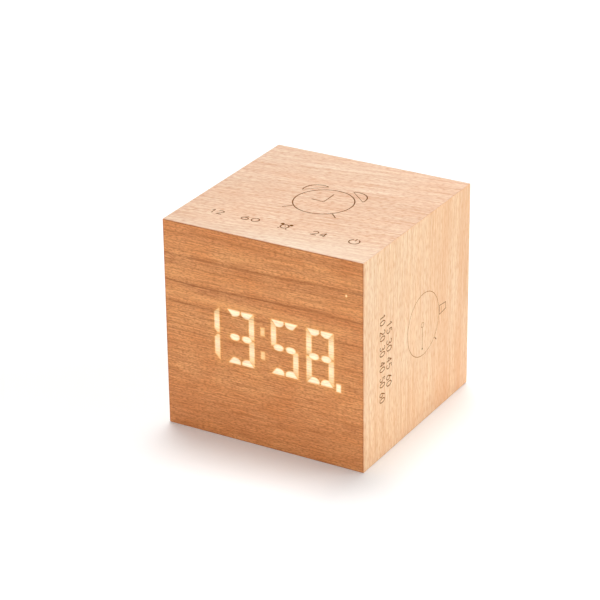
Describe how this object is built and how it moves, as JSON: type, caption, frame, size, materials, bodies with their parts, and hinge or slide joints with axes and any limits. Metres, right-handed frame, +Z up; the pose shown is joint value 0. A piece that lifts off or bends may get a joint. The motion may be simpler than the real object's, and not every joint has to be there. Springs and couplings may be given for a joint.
{
  "type": "digital alarm clock",
  "caption": "Cube-shaped wooden desk alarm clock with a light display behind the front veneer, engraved touch keys on top and tilt switches that read which side is up.",
  "frame": {"origin": "middle of the bottom face, where the clock stands", "axes": "+Z up, -Y towards the reader (the display's face), +X to the right seen from the front"},
  "size_m": [0.08, 0.08, 0.08],
  "materials": {
    "wood_front": "reddish veneer, satin, lit from behind by the display",
    "wood_case": "pale reddish veneer, satin",
    "wood_core": "raw fibre board",
    "dark_steel": "blackened screws",
    "steel": "plated",
    "gilt_brass": "gilt",
    "aluminium": "foil",
    "white_film": "matt white",
    "white_plastic": "matt white",
    "ivory_plastic": "satin",
    "grey_ribbon": "satin",
    "black_plastic": "satin",
    "red_lead": "satin",
    "circuit_board": "coated",
    "lamp": "moulded lamp chips",
    "clear_plastic": "polished rod"
  },
  "bodies": {
    "case": {"front_veneer": "wood_front", "front_board": "wood_core", "glue_blocks": "wood_core", "top_board": "wood_case", "right_board": "wood_case", "bottom_board": "wood_case", "left_board": "wood_case", "back_cover": "wood_case", "cover_screws": "dark_steel", "diffuser_film": "white_film", "digit_reflector": "white_plastic", "indicator_pipe": "clear_plastic", "display_lamps": "lamp", "display_board": "circuit_board", "touch_board": "circuit_board", "power_board": "circuit_board", "display_spacers": "steel", "touch_spacers": "steel", "power_spacers": "steel", "display_screws": "steel", "touch_screws": "steel", "power_screws": "steel", "controller_chip": "black_plastic", "driver_chip": "black_plastic", "touch_chip": "black_plastic", "charge_chip": "black_plastic", "sounder_can": "black_plastic", "sounder_cap": "black_plastic", "clock_crystal": "steel", "tilt_cans": "steel", "tilt_plugs": "black_plastic", "tilt_contacts": "gilt_brass", "touch_springs": "gilt_brass", "socket_shell": "steel", "socket_tongue": "black_plastic", "power_capacitor": "aluminium", "battery_cell": "aluminium", "battery_tape": "white_film", "battery_lead_red": "red_lead", "battery_lead_black": "black_plastic", "cable_headers": "ivory_plastic", "cable_plugs": "ivory_plastic", "touch_ribbon": "grey_ribbon", "power_ribbon": "grey_ribbon"},
    "ball_left": {"tilt_ball_left": "steel"},
    "ball_right": {"tilt_ball_right": "steel"}
  },
  "joints": [
    {"name": "ball_left_roll", "type": "slide", "parent": "case", "child": "ball_left", "axis": [-0.7071, 0, 0.7071], "range_m": [0, 0.0025]},
    {"name": "ball_right_roll", "type": "slide", "parent": "case", "child": "ball_right", "axis": [0.7071, 0, 0.7071], "range_m": [0, 0.0025]}
  ]
}
